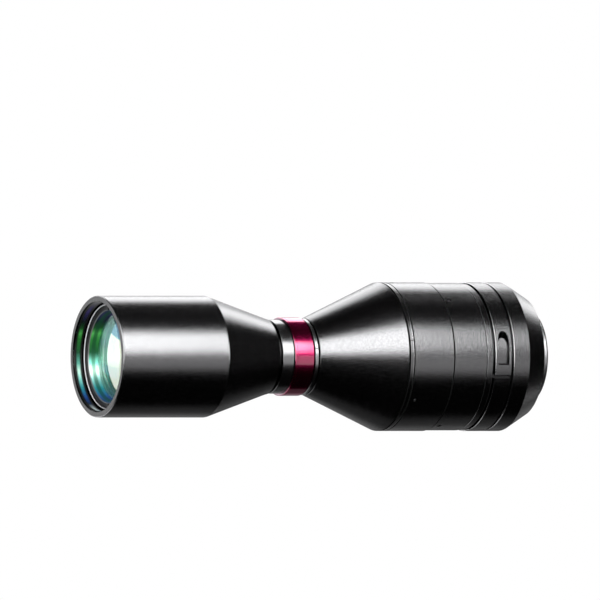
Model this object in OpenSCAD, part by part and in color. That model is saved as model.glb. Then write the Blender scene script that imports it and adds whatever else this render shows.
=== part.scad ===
// Bi-telecentric lens, axis along X, front lens towards -X.
// The origin is the centre of the camera flange face, and +Z is up.
// Angles round the axis start at -Y, the side that faces the viewer, and grow upwards.

/* [Front barrel] */
// Outer diameter of the front barrel
front_barrel_d = 95; // [78:0.5:120]
// Length of the front barrel that shows
front_barrel_len = 92; // [76:1:130]
// Wall round the filter thread in the mouth
mouth_wall = 4.5; // [3:0.1:7]
// Depth of the filter thread
filter_thread_len = 8.5; // [5:0.5:12]
// Chamfer round the front rim
rim_chamfer = 0.8; // [0.3:0.1:1.2]
// Step from the filter thread in to the lens cell
cell_step = 2.6; // [1.5:0.1:4]
// Width of the ledge that the front doublet rests on
front_ledge_w = 2.9; // [2:0.1:4]
// Length of the screwed spigot that enters the front cone
front_spigot_len = 8.5; // [6:0.5:12]
// Width of one light baffle groove
baffle_groove_w = 2; // [1:0.1:2.8]
// Depth of one light baffle groove
baffle_groove_depth = 1.5; // [0.5:0.1:2]
// Distance from one baffle groove to the next
baffle_pitch = 4; // [3:0.1:8]

/* [Front optics] */
// Distance from the filter thread's end to the front retaining ring
front_ring_setback = 1.5; // [0.5:0.1:4]
// Length of the front retaining ring
front_ring_len = 7.2; // [4:0.1:9]
// Width of the retaining ring at the front of its tapered bore
front_ring_mouth_w = 3.95; // [2.5:0.05:5]
// Width of the retaining ring where it rests on the lens
front_ring_seat_w = 7.15; // [5:0.05:9]
// Radius of the front face of the front lens
front_lens_r1 = 110; // [85:1:180]
// Radius of the back face of the front lens
front_lens_r2 = 400; // [250:10:900]
// Edge thickness of the front lens
front_lens_edge = 4.3; // [2:0.1:8]
// Air gap between the front lens and the front doublet
front_air_gap = 2.9; // [1:0.1:8]
// Width of the front spacer ring
front_spacer_w = 3.8; // [2.5:0.1:6]
// Radius of the front face of the front doublet
front_crown_r1 = 140; // [110:1:260]
// Radius of the cemented face of the front doublet
front_cement_r = 110; // [85:1:200]
// Radius of the back face of the front doublet
front_flint_r2 = 600; // [400:10:1200]
// Edge thickness of the front crown
front_crown_edge = 2.4; // [1:0.1:5]
// Middle thickness of the front flint
front_flint_t = 5; // [3:0.1:8]

/* [Front cone] */
// Length of the tapered part of the front cone
front_cone_len = 52.8; // [42:0.1:80]
// Length of the collar at the small end
collar_len = 1; // [1:0.1:6]
// Wall of the collar round the neck's thread
collar_wall = 5.6; // [4:0.1:8]
// Wall of the front cone round its large thread
front_cone_lip = 5; // [3.5:0.1:7]
// Wall of the front cone where its tapered bore begins
front_cone_wall = 4.9; // [3.5:0.1:7]

/* [Neck] */
// Diameter of the neck tube under the rings
neck_tube_d = 51.2; // [42:0.1:60]
// Height of the neck band above the tube
neck_band_step = 3.3; // [2:0.1:5]
// Length of the neck band that shows
neck_band_len = 9.9; // [4:0.1:14]
// Height of the shadow groove's floor above the tube
neck_groove_step = 1.4; // [0.6:0.1:1.9]
// Width of that shadow groove
neck_groove_w = 2; // [0.3:0.1:3]
// Length of the neck tube inside the rear cone
neck_tail_len = 12; // [8:0.5:20]
// Wall of the neck tube round the aperture stop
neck_tail_wall = 4.65; // [3:0.05:6]
// Step down from the tube to its front spigot
neck_spigot_step = 1.65; // [1:0.05:3]
// Length of the front spigot of the neck tube
neck_spigot_len = 14; // [8:0.5:18]
// Width of the ledge that the aperture stop rests on
stop_ledge_w = 3.95; // [2:0.05:6]
// Thickness of the aperture stop disc
stop_disc_t = 1.2; // [0.8:0.1:2]
// Diameter of the aperture
aperture_d = 13; // [3:0.5:24]
// Distance from the neck band to the stop disc
stop_setback = 9.7; // [4:0.1:14]
// Length of the stop retaining ring
stop_nut_len = 4; // [2:0.1:6]
// Width of the stop retaining ring
stop_nut_w = 3.4; // [2:0.1:4]

/* [Colour ring] */
// Wall of the coloured ring
accent_wall = 4.95; // [3.5:0.05:8]
// Length of the coloured ring
accent_len = 16.4; // [12:0.1:26]
// Chamfer of the coloured ring
accent_chamfer = 0.4; // [0.2:0.1:0.8]
// Place of the thin line behind the front edge of the coloured ring
accent_line_at = 1.8; // [1:0.1:4]

/* [Neck lock ring] */
// Wall of the neck lock ring
neck_lock_wall = 4.35; // [3:0.05:7]
// Length of the neck lock ring's flange
neck_lock_len = 2.9; // [2:0.1:6]
// Wall of the lock ring's hub that meets the rear cone
neck_hub_wall = 2.15; // [1.5:0.05:2.9]
// Length of that hub
neck_hub_len = 1.4; // [0.6:0.1:3]
// Gap between the coloured ring and the neck lock ring
accent_gap = 1.3; // [0.4:0.1:3]
// Angle of the witness line on the neck lock ring
neck_mark_angle = 12; // [-180:0.5:180]

/* [Rear cone] */
// Length of the rear cone
rear_cone_len = 63.7; // [52:0.1:90]
// Wall of the rear cone at its small end
rear_cone_lip = 4.45; // [3:0.05:8]
// Length of the spigot inside the group barrel
cone_spigot_len = 8.5; // [7:0.1:10]
// Wall of that spigot
cone_spigot_wall = 4.5; // [3:0.1:6]
// Length of the cone lock ring
cone_lock_len = 3.4; // [2:0.1:6]
// Shadow gap between the rear cone and its lock ring
cone_lock_gap = 0.9; // [0.3:0.1:2]
// Angle of the witness line on the cone lock ring
cone_mark_angle = 12.6; // [-180:0.1:180]

/* [Group barrel] */
// Outer diameter of the widest barrels
body_d = 116; // [96:0.5:136]
// Length of the group barrel that shows
group_barrel_len = 34.6; // [28:0.1:44]
// Wall of the group barrel round the cone's spigot
cone_seat_wall = 4.95; // [4:0.05:7]
// Thickness of the shoulder that the rear lenses rest on
group_shoulder_t = 2.5; // [1.5:0.1:3.5]
// Width of that shoulder
group_shoulder_w = 3.4; // [2.5:0.1:5]
// Wall of the spigot that enters the rear barrel, round the lens cell
group_spigot_wall = 5.1; // [4:0.1:7]
// Distance of the group barrel's screws from its front edge
group_screw_at = 5.4; // [3:0.1:6.5]
// Angle of the first group barrel screw
group_screw_angle = -35.5; // [-180:0.5:180]

/* [Rear optics] */
// Radius of the front face of the rear doublet
rear_flint_r1 = 400; // [300:5:800]
// Radius of the cemented face of the rear doublet
rear_cement_r = 160; // [130:1:240]
// Radius of the back face of the rear doublet
rear_crown_r2 = 220; // [180:1:400]
// Middle thickness of the rear flint
rear_flint_t = 4.5; // [3:0.1:6]
// Edge thickness of the rear crown
rear_crown_edge = 2.6; // [1.5:0.1:5]
// Radius of the front face of the last lens
rear_lens_r1 = 300; // [240:5:600]
// Edge thickness of the last lens
rear_lens_edge = 4.6; // [3:0.1:6]
// Air gap between the rear doublet and the last lens
rear_air_gap = 1.1; // [0.6:0.1:2]
// Width of the rear spacer ring
rear_spacer_w = 3.3; // [2.5:0.1:5]
// Length of the rear retaining ring
rear_ring_len = 3.5; // [2.5:0.1:5]
// Width of the rear retaining ring
rear_ring_w = 3.85; // [2.5:0.05:6]

/* [Rear barrel] */
// Length of the rear barrel that shows
rear_barrel_len = 29; // [24:0.1:40]
// Step from the widest barrels in to the rear barrel
rear_barrel_step = 0.5; // [0.2:0.1:1.5]
// Wall of the rear barrel round the group barrel's spigot
rear_barrel_wall = 3.95; // [3.2:0.05:6]
// Step from the rear barrel in to its tail, under the stop ring and the band
tail_step = 2.7; // [2:0.1:3.5]
// Wall of the tail
tail_wall = 4.75; // [4:0.05:7]
// Distance of the rear barrel's screws from its front edge
rear_screw_at = 5.3; // [3:0.1:9]
// Angle of the first rear barrel screw
rear_screw_angle = 50; // [-180:0.5:180]
// Wall of the stop ring
stop_ring_wall = 2.35; // [1.5:0.05:3.5]
// Length of the stop ring
stop_ring_len = 5.4; // [3:0.1:9]
// Angle of the witness line on the stop ring
stop_mark_angle = 37; // [-180:0.5:180]

/* [Split band] */
// Wall of the split band
band_wall = 3.15; // [2:0.05:4.5]
// Length of the split band
band_len = 14.1; // [12:0.1:20]
// Gap between the stop ring and the band
band_front_gap = 1.6; // [0.5:0.1:4]
// Gap between the band and the camera adapter
band_rear_gap = 1.9; // [0.8:0.1:4]
// Width of the slit through the band
slit_w = 2.4; // [1:0.1:5]
// Angle of the slit
slit_angle = -16; // [-180:1:180]
// Width of the key pocket in the band
pocket_w = 9.8; // [6:0.1:11]
// Distance from the middle of the slit to the flat seat of the key pocket
pocket_seat_at = 10.5; // [4:0.1:16]
// Depth of the pocket's rounded floor line below the band's outer surface
pocket_sink = 11.2; // [8:0.1:15]

/* [Camera adapter] */
// Length of the adapter's cylindrical ring
adapter_ring_len = 13.5; // [8:0.1:20]
// Length of the adapter's slope to the flange
adapter_slope_len = 18; // [15:0.1:24]
// Width of the camera flange face
flange_w = 11.2; // [8:0.1:14]
// Diameter of the camera thread
camera_thread_d = 72; // [60:0.5:84]
// Length of the camera thread boss
camera_thread_len = 8.6; // [4:0.1:12]
// Wall of the camera thread boss
boss_wall = 3; // [2:0.1:6]
// Length of the adapter's spigot inside the rear barrel
adapter_spigot_len = 18.9; // [15:0.1:24]
// Wall of the adapter's spigot
adapter_spigot_wall = 5; // [4:0.1:7]
// Thickness of the adapter behind its wide bore
adapter_web_t = 6; // [4:0.1:9]
// Depth of the groove for the lock screws
lock_groove_depth = 1.2; // [0.8:0.1:1.6]
// Angle of the first adapter lock screw
lock_screw_angle = 84; // [-180:1:180]

/* [Screws and fits] */
// Diameter of the barrel grub screws
grub_d = 3; // [2:0.5:4]
// Diameter of the adapter lock screws
lock_screw_d = 4; // [3:0.5:4]
// Number of screws round each barrel
screw_count = 3; // [2:1:6]
// Depth of a grub screw's head below the barrel
grub_recess = 0.5; // [0.2:0.1:1]
// Depth of the hexagon socket in a grub screw
socket_depth = 1.5; // [1:0.1:2]
// Chamfer on the edges of the barrels and rings
edge_chamfer = 0.35; // [0.2:0.05:0.6]
// Width of a spanner slot in a retaining ring
spanner_slot_w = 2.5; // [1.5:0.1:4]
// Depth of a spanner slot
spanner_slot_depth = 1.2; // [0.5:0.1:1.8]
// Width of a witness line
witness_w = 0.4; // [0.2:0.1:1]
// Depth of a witness line
witness_depth = 0.25; // [0.1:0.05:0.5]

/* [Hidden] */

// Smoothness of turned parts and of the large spheres that cut the lenses
$fn = 128;
sphere_fn = 240;
// Sides of a hexagon socket
hex_sides = 6;

// Radial play of screwed and sliding fits
fit_gap = 0.05;
// Radial play between a lens and its cell
cell_gap = 0.1;
// Play along the axis between glass and its seat
glass_gap = 0.05;
// Width of the flat rim ground round a hollow glass face
glass_rim_w = 1;
// Play where a spigot stops short of its shoulder
end_gap = 0.5;
// Play between the adapter and the rear barrel, which turn past each other
turn_gap = 0.3;
// Play between a lock screw and the floor and sides of its groove
tip_gap = 0.4;
// Small reach of a cutter past the surface it leaves
past = 1;

// Hexagon size of a grub screw as a share of its diameter
hex_share = 0.58;

// Radii of the barrels and of the seats inside them
front_barrel_r = front_barrel_d / 2;
body_r = body_d / 2;
rear_barrel_r = body_r - rear_barrel_step;
tail_r = rear_barrel_r - tail_step;
ring_bore_r = tail_r + fit_gap;
stop_ring_r = ring_bore_r + stop_ring_wall;
band_r = ring_bore_r + band_wall;
camera_thread_r = camera_thread_d / 2;

// Radii of the neck, worked outwards and inwards from its tube
neck_tube_r = neck_tube_d / 2;
neck_seat_r = neck_tube_r + fit_gap;
neck_band_r = neck_tube_r + neck_band_step;
neck_groove_r = neck_tube_r + neck_groove_step;
accent_r = neck_seat_r + accent_wall;
neck_lock_r = neck_seat_r + neck_lock_wall;
neck_hub_r = neck_seat_r + neck_hub_wall;
rear_cone_r = neck_seat_r + rear_cone_lip;
neck_spigot_r = neck_tube_r - neck_spigot_step;
neck_thread_r = neck_spigot_r + fit_gap;
collar_r = neck_thread_r + collar_wall;
stop_bore_r = neck_tube_r - neck_tail_wall;
stop_disc_r = stop_bore_r - fit_gap;
neck_bore_r = stop_bore_r - stop_ledge_w;
aperture_r = aperture_d / 2;

// Stations along the axis, from the flange at zero towards the front rim
adapter_ring_rear = -adapter_slope_len;
adapter_ring_front = adapter_ring_rear - adapter_ring_len;
band_rear = adapter_ring_front - band_rear_gap;
band_front = band_rear - band_len;
stop_ring_rear = band_front - band_front_gap;
rear_barrel_rear = stop_ring_rear - stop_ring_len;
rear_barrel_front = rear_barrel_rear - rear_barrel_len;
group_front = rear_barrel_front - group_barrel_len;
cone_lock_front = group_front - cone_lock_len;
rear_cone_rear = cone_lock_front - cone_lock_gap;
rear_cone_front = rear_cone_rear - rear_cone_len;
neck_lock_rear = rear_cone_front - neck_hub_len;
neck_lock_front = neck_lock_rear - neck_lock_len;
accent_rear = neck_lock_front - accent_gap;
accent_front = accent_rear - accent_len;
neck_band_front = accent_front - neck_band_len;
collar_rear = neck_band_front - neck_groove_w;
collar_front = collar_rear - collar_len;
front_cone_front = collar_front - front_cone_len;
rim_x = front_cone_front - front_barrel_len;

// Front lens cell, filled from the rim towards the ledge
filter_thread_r = front_barrel_r - mouth_wall;
front_cell_r = filter_thread_r - cell_step;
front_ledge_r = front_cell_r - front_ledge_w;
front_lens_r = front_cell_r - cell_gap;
front_ring_r = front_cell_r - fit_gap;
front_ring_mouth_r = front_ring_r - front_ring_mouth_w;
front_ring_seat_r = front_ring_r - front_ring_seat_w;
front_spacer_r = front_lens_r - front_spacer_w;
filter_thread_end = rim_x + filter_thread_len;
front_ring_front = filter_thread_end + front_ring_setback;
front_ring_rear = front_ring_front + front_ring_len;
front_lens_x = front_ring_rear + glass_gap - sag(front_ring_seat_r, front_lens_r1);
front_lens_back = front_lens_x + front_lens_edge
    + sag(front_lens_r, front_lens_r1) + sag(front_lens_r, front_lens_r2);
front_spacer_front = front_lens_back - sag(front_spacer_r, front_lens_r2) + glass_gap;
front_crown_x = front_lens_back + front_air_gap;
front_spacer_rear = front_crown_x + sag(front_spacer_r, front_crown_r1) - glass_gap;
front_crown_back = front_crown_x + front_crown_edge
    + sag(front_lens_r, front_crown_r1) + sag(front_lens_r, front_cement_r);
front_flint_x = front_crown_back + glass_gap;
front_flint_rim = front_flint_x - sag(front_lens_r - glass_rim_w, front_cement_r);
front_flint_back = front_flint_x + front_flint_t;
front_ledge_x = front_flint_back - sag(front_ledge_r, front_flint_r2) + glass_gap;

// Front barrel's tail and its baffle grooves
front_thread_r = front_barrel_r - front_cone_lip;
front_spigot_r = front_thread_r - fit_gap;
front_spigot_end = front_cone_front + front_spigot_len;
baffle_start = front_ledge_x + baffle_pitch;
baffle_count = floor((front_cone_front - baffle_start) / baffle_pitch);

// Front cone's bores
front_thread_end = front_spigot_end + end_gap;
front_taper_r = front_cone_radius(front_thread_end) - front_cone_wall;
neck_spigot_end = collar_rear - neck_spigot_len;
neck_thread_end = neck_spigot_end - end_gap;

// Neck tube's tail and its stop
neck_tail_end = rear_cone_front + neck_tail_len;
stop_disc_front = accent_front + stop_setback;
stop_disc_rear = stop_disc_front + stop_disc_t;
stop_nut_rear = stop_disc_rear + stop_nut_len;

// Rear cone's bores and spigot
neck_seat_end = neck_tail_end + end_gap;
cone_seat_r = body_r - cone_seat_wall;
cone_spigot_r = cone_seat_r - fit_gap;
cone_spigot_end = group_front + cone_spigot_len;
cone_spigot_bore_r = cone_spigot_r - cone_spigot_wall;

// Group barrel and its lenses, filled from the rear towards the shoulder
group_seat_r = rear_barrel_r - rear_barrel_wall;
group_spigot_r = group_seat_r - fit_gap;
rear_cell_r = group_spigot_r - group_spigot_wall;
rear_lens_r = rear_cell_r - cell_gap;
rear_rim_r = rear_lens_r - glass_rim_w;
shoulder_r = rear_cell_r - group_shoulder_w;
rear_spacer_r = rear_lens_r - rear_spacer_w;
rear_ring_r = rear_cell_r - fit_gap;
shoulder_front = cone_spigot_end + end_gap;
shoulder_rear = shoulder_front + group_shoulder_t;
rear_flint_rim = shoulder_rear + glass_gap;
rear_flint_x = rear_flint_rim + sag(rear_rim_r, rear_flint_r1);
rear_flint_back = rear_flint_x + rear_flint_t;
rear_crown_x = rear_flint_back + glass_gap;
rear_crown_back = rear_crown_x + rear_crown_edge
    + sag(rear_lens_r, rear_cement_r) + sag(rear_lens_r, rear_crown_r2);
rear_spacer_front = rear_crown_back - sag(rear_spacer_r, rear_crown_r2) + glass_gap;
rear_lens_x = rear_crown_back + rear_air_gap;
rear_spacer_rear = rear_lens_x + sag(rear_spacer_r, rear_lens_r1) - glass_gap;
rear_lens_back = rear_lens_x + rear_lens_edge + sag(rear_lens_r, rear_lens_r1);
rear_ring_front = rear_lens_back + glass_gap;
rear_ring_rear = rear_ring_front + rear_ring_len;
group_spigot_end = rear_ring_rear + end_gap;

// Rear barrel's bores
group_seat_end = group_spigot_end + end_gap;
adapter_seat_r = tail_r - tail_wall;
tail_end = adapter_ring_front - turn_gap;

// Camera adapter
adapter_spigot_r = adapter_seat_r - fit_gap;
adapter_spigot_end = adapter_ring_front - adapter_spigot_len;
adapter_bore_r = adapter_spigot_r - adapter_spigot_wall;
throat_r = camera_thread_r - boss_wall;
flange_r = camera_thread_r + flange_w;
lock_screw_x = (band_front + band_rear) / 2;
lock_groove_r = adapter_spigot_r - lock_groove_depth;
lock_groove_front = lock_screw_x - lock_screw_d / 2 - tip_gap;
lock_groove_rear = lock_screw_x + lock_screw_d / 2 + tip_gap;

// Height of a spherical face of radius big_r at the distance r from its middle
function sag(r, big_r) = big_r - sqrt(big_r * big_r - r * r);

// Outer radius of the front cone at a place along the axis
function front_cone_radius(x) =
    front_barrel_r + (collar_r - front_barrel_r) * (x - front_cone_front) / front_cone_len;

// Outline of a band of radius r between two stations, with both edges chamfered
function banded(r, x0, x1, c = edge_chamfer) = [[r - c, x0], [r, x0 + c], [r, x1 - c], [r - c, x1]];

// Points are [radius, place along the axis]
module turned(points) rotate([0, 90, 0]) rotate_extrude() polygon(points);

// Plain ring between two stations with the outer edges chamfered
module ring(outer_r, inner_r, x0, x1, c = edge_chamfer)
    turned(concat(banded(outer_r, x0, x1, c), [[inner_r, x1], [inner_r, x0]]));

// Round bar along the axis between two stations
module bar(r, x0, x1) translate([x0, 0, 0]) rotate([0, 90, 0]) cylinder(r = r, h = x1 - x0);

// Sphere whose surface crosses the axis at x, with its middle at the distance r behind it
module face_ball(x, r) translate([x + r, 0, 0]) rotate([0, 0, 90]) sphere(r = abs(r), $fn = sphere_fn);

// Children are placed with +Z pointing out of the axis at the angle given, and +Y round it
module at_angle(angle) rotate([90 - angle, 0, 0]) children();

// Children are repeated round the axis at the screws' angles
module at_screws(first_angle)
    for (i = [0 : screw_count - 1]) at_angle(first_angle + i * 360 / screw_count) children();

// Threaded hole down to the radius floor_r from a surface at top_r
module screw_hole(x, d, top_r, floor_r)
    translate([x, 0, floor_r]) cylinder(d = d + 2 * fit_gap, h = top_r - floor_r + past);

// Grub screw from head_r down to tip_r, with a hexagon socket
module grub_screw(x, d, head_r, tip_r)
    translate([x, 0, tip_r])
        difference() {
            cylinder(d = d, h = head_r - tip_r, $fn = 48);
            translate([0, 0, head_r - tip_r - socket_depth])
                cylinder(d = d * hex_share, h = socket_depth + past, $fn = hex_sides);
        }

// Line engraved along the axis in a surface of radius r
module witness_cut(angle, r, x0, x1)
    at_angle(angle)
        translate([x0 - past, -witness_w / 2, r - witness_depth])
            cube([x1 - x0 + 2 * past, witness_w, witness_depth + past]);

// Two opposite spanner slots that open at the station x; side is the way out of the ring
module spanner_slots(x, outer_r, side)
    translate([x - (side > 0 ? spanner_slot_depth : past), -spanner_slot_w / 2, -outer_r - past])
        cube([spanner_slot_depth + past, spanner_slot_w, 2 * (outer_r + past)]);

module front_barrel()
    color([0.07, 0.07, 0.08])
        turned(concat(
            [[front_barrel_r - rim_chamfer, rim_x], [front_barrel_r, rim_x + rim_chamfer],
             [front_barrel_r, front_cone_front - edge_chamfer],
             [front_barrel_r - edge_chamfer, front_cone_front],
             [front_spigot_r, front_cone_front], [front_spigot_r, front_spigot_end],
             [front_ledge_r, front_spigot_end]],
            [for (i = [baffle_count - 1 : -1 : 0]) each baffle_groove(baffle_start + i * baffle_pitch)],
            [[front_ledge_r, front_ledge_x], [front_cell_r, front_ledge_x],
             [front_cell_r, filter_thread_end], [filter_thread_r, filter_thread_end],
             [filter_thread_r, rim_x + edge_chamfer], [filter_thread_r + edge_chamfer, rim_x]]
        ));

// Outline of one baffle groove that starts at the station x
function baffle_groove(x) = [
    [front_ledge_r, x + baffle_groove_w],
    [front_ledge_r + baffle_groove_depth, x + baffle_groove_w],
    [front_ledge_r + baffle_groove_depth, x],
    [front_ledge_r, x]
];

module front_retaining_ring()
    color([0.12, 0.12, 0.13])
        difference() {
            turned(concat(
                banded(front_ring_r, front_ring_front, front_ring_rear),
                [[front_ring_seat_r, front_ring_rear], [front_ring_mouth_r, front_ring_front]]
            ));
            spanner_slots(front_ring_front, front_cell_r, -1);
        }

module front_lens()
    color([0.55, 0.85, 0.75, 0.6])
        intersection() {
            bar(front_lens_r, front_lens_x - past, front_lens_back + past);
            face_ball(front_lens_x, front_lens_r1);
            face_ball(front_lens_back, -front_lens_r2);
        }

module front_spacer_ring()
    color([0.1, 0.1, 0.11])
        ring(front_lens_r, front_spacer_r, front_spacer_front, front_spacer_rear);

module front_doublet_crown()
    color([0.6, 0.8, 0.85, 0.6])
        intersection() {
            bar(front_lens_r, front_crown_x - past, front_crown_back + past);
            face_ball(front_crown_x, front_crown_r1);
            face_ball(front_crown_back, -front_cement_r);
        }

module front_doublet_flint()
    color([0.6, 0.7, 0.85, 0.6])
        difference() {
            intersection() {
                bar(front_lens_r, front_flint_rim, front_flint_back + past);
                face_ball(front_flint_back, -front_flint_r2);
            }
            face_ball(front_flint_x, -front_cement_r);
        }

module front_cone()
    color([0.07, 0.07, 0.08])
        turned([
            [front_barrel_r - edge_chamfer, front_cone_front],
            [front_cone_radius(front_cone_front + edge_chamfer), front_cone_front + edge_chamfer],
            [collar_r, collar_front], [collar_r, collar_rear - edge_chamfer],
            [collar_r - edge_chamfer, collar_rear],
            [neck_thread_r, collar_rear], [neck_thread_r, neck_thread_end],
            [front_taper_r, front_thread_end], [front_thread_r, front_thread_end],
            [front_thread_r, front_cone_front]
        ]);

module neck_tube()
    color([0.16, 0.16, 0.17])
        turned(concat(
            [[neck_bore_r, neck_spigot_end], [neck_spigot_r, neck_spigot_end],
             [neck_spigot_r, collar_rear], [neck_groove_r, collar_rear],
             [neck_groove_r, neck_band_front]],
            banded(neck_band_r, neck_band_front, accent_front),
            [[neck_tube_r, accent_front], [neck_tube_r, neck_tail_end],
             [stop_bore_r, neck_tail_end], [stop_bore_r, stop_disc_front],
             [neck_bore_r, stop_disc_front]]
        ));

// Knife-edged hole: the disc is bevelled away on its rear side
module aperture_stop()
    color([0.05, 0.05, 0.05])
        turned([
            [aperture_r, stop_disc_front], [stop_disc_r, stop_disc_front],
            [stop_disc_r, stop_disc_rear], [aperture_r + stop_disc_t, stop_disc_rear]
        ]);

module stop_retaining_ring()
    color([0.1, 0.1, 0.11])
        difference() {
            ring(stop_disc_r, stop_disc_r - stop_nut_w, stop_disc_rear, stop_nut_rear);
            spanner_slots(stop_nut_rear, stop_disc_r, 1);
        }

module accent_ring()
    color([0.62, 0.05, 0.32])
        turned([
            [accent_r - accent_chamfer, accent_front],
            [accent_r, accent_front + accent_chamfer],
            [accent_r, accent_front + accent_line_at],
            [accent_r - witness_depth, accent_front + accent_line_at],
            [accent_r - witness_depth, accent_front + accent_line_at + witness_w],
            [accent_r, accent_front + accent_line_at + witness_w],
            [accent_r, accent_rear - accent_chamfer],
            [accent_r - accent_chamfer, accent_rear],
            [neck_seat_r, accent_rear], [neck_seat_r, accent_front]
        ]);

module neck_lock_ring()
    color([0.3, 0.3, 0.31])
        difference() {
            turned(concat(
                banded(neck_lock_r, neck_lock_front, neck_lock_rear),
                [[neck_hub_r, neck_lock_rear], [neck_hub_r, rear_cone_front],
                 [neck_seat_r, rear_cone_front], [neck_seat_r, neck_lock_front]]
            ));
            witness_cut(neck_mark_angle, neck_lock_r, neck_lock_front, neck_lock_rear);
        }

module rear_cone()
    color([0.07, 0.07, 0.08])
        turned([
            [rear_cone_r - edge_chamfer, rear_cone_front],
            [rear_cone_r, rear_cone_front + edge_chamfer],
            [body_r, rear_cone_rear - edge_chamfer], [body_r - edge_chamfer, rear_cone_rear],
            [cone_spigot_r, rear_cone_rear], [cone_spigot_r, cone_spigot_end],
            [cone_spigot_bore_r, cone_spigot_end], [cone_spigot_bore_r, rear_cone_rear],
            [neck_seat_r, neck_seat_end], [neck_seat_r, rear_cone_front]
        ]);

module cone_lock_ring()
    color([0.07, 0.07, 0.08])
        difference() {
            ring(body_r, cone_seat_r, cone_lock_front, group_front);
            witness_cut(cone_mark_angle, body_r, cone_lock_front, group_front);
        }

module group_barrel()
    color([0.07, 0.07, 0.08])
        difference() {
            turned(concat(
                banded(body_r, group_front, rear_barrel_front),
                [[group_spigot_r, rear_barrel_front], [group_spigot_r, group_spigot_end],
                 [rear_cell_r, group_spigot_end], [rear_cell_r, shoulder_rear],
                 [shoulder_r, shoulder_rear], [shoulder_r, shoulder_front],
                 [cone_seat_r, shoulder_front], [cone_seat_r, group_front]]
            ));
            at_screws(group_screw_angle)
                screw_hole(group_front + group_screw_at, grub_d, body_r, cone_spigot_r);
        }

module group_barrel_screws()
    color([0.35, 0.35, 0.36])
        at_screws(group_screw_angle)
            grub_screw(group_front + group_screw_at, grub_d, body_r - grub_recess, cone_seat_r);

module rear_doublet_flint()
    color([0.6, 0.7, 0.85, 0.6])
        difference() {
            bar(rear_lens_r, rear_flint_rim, rear_flint_back + sag(rear_rim_r, rear_cement_r));
            face_ball(rear_flint_x, -rear_flint_r1);
            face_ball(rear_flint_back, rear_cement_r);
        }

module rear_doublet_crown()
    color([0.6, 0.8, 0.85, 0.6])
        intersection() {
            bar(rear_lens_r, rear_crown_x - past, rear_crown_back + past);
            face_ball(rear_crown_x, rear_cement_r);
            face_ball(rear_crown_back, -rear_crown_r2);
        }

module rear_spacer_ring()
    color([0.1, 0.1, 0.11])
        ring(rear_lens_r, rear_spacer_r, rear_spacer_front, rear_spacer_rear);

module rear_lens()
    color([0.6, 0.75, 0.85, 0.6])
        intersection() {
            bar(rear_lens_r, rear_lens_x - past, rear_lens_back);
            face_ball(rear_lens_x, rear_lens_r1);
        }

module rear_retaining_ring()
    color([0.1, 0.1, 0.11])
        difference() {
            ring(rear_ring_r, rear_ring_r - rear_ring_w, rear_ring_front, rear_ring_rear);
            spanner_slots(rear_ring_rear, rear_cell_r, 1);
        }

module rear_barrel()
    color([0.07, 0.07, 0.08])
        difference() {
            turned(concat(
                banded(rear_barrel_r, rear_barrel_front, rear_barrel_rear),
                [[tail_r, rear_barrel_rear], [tail_r, tail_end],
                 [adapter_seat_r, tail_end], [adapter_seat_r, group_seat_end],
                 [group_seat_r, group_seat_end], [group_seat_r, rear_barrel_front]]
            ));
            at_screws(rear_screw_angle)
                screw_hole(rear_barrel_front + rear_screw_at, grub_d, rear_barrel_r, group_spigot_r);
            at_screws(lock_screw_angle)
                screw_hole(lock_screw_x, lock_screw_d, tail_r, adapter_spigot_r);
        }

module rear_barrel_screws()
    color([0.35, 0.35, 0.36])
        at_screws(rear_screw_angle)
            grub_screw(rear_barrel_front + rear_screw_at, grub_d,
                       rear_barrel_r - grub_recess, group_seat_r);

module stop_ring()
    color([0.09, 0.09, 0.1])
        difference() {
            ring(stop_ring_r, ring_bore_r, rear_barrel_rear, stop_ring_rear);
            witness_cut(stop_mark_angle, stop_ring_r, rear_barrel_rear, stop_ring_rear);
        }

// Spring band over the lock screws, slit once, with a round-ended pocket for the key
module split_band()
    color([0.09, 0.09, 0.1])
        difference() {
            ring(band_r, ring_bore_r, band_front, band_rear);
            at_angle(slit_angle) {
                translate([band_front - past, -slit_w / 2, 0])
                    cube([band_len + 2 * past, slit_w, band_r + past]);
                translate([lock_screw_x, pocket_seat_at, band_r - pocket_sink + pocket_w / 2]) {
                    rotate([-90, 0, 0]) cylinder(d = pocket_w, h = band_r);
                    translate([-pocket_w / 2, 0, 0]) cube([pocket_w, band_r, band_r]);
                }
            }
        }

// Dog-point screws that hold the adapter by its groove, under the split band
module adapter_lock_screws()
    color([0.35, 0.35, 0.36])
        at_screws(lock_screw_angle)
            grub_screw(lock_screw_x, lock_screw_d, tail_r - grub_recess, lock_groove_r + tip_gap);

module camera_adapter()
    color([0.07, 0.07, 0.08])
        turned([
            [body_r - edge_chamfer, adapter_ring_front],
            [body_r, adapter_ring_front + edge_chamfer], [body_r, adapter_ring_rear],
            [flange_r, 0], [camera_thread_r, 0],
            [camera_thread_r, camera_thread_len - edge_chamfer],
            [camera_thread_r - edge_chamfer, camera_thread_len],
            [throat_r, camera_thread_len], [throat_r, -adapter_web_t + edge_chamfer],
            [throat_r + edge_chamfer, -adapter_web_t],
            [adapter_bore_r, -adapter_web_t - (adapter_bore_r - throat_r)],
            [adapter_bore_r, adapter_spigot_end], [adapter_spigot_r, adapter_spigot_end],
            [adapter_spigot_r, lock_groove_front],
            [lock_groove_r, lock_groove_front],
            [lock_groove_r, lock_groove_rear],
            [adapter_spigot_r, lock_groove_rear],
            [adapter_spigot_r, adapter_ring_front]
        ]);

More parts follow.
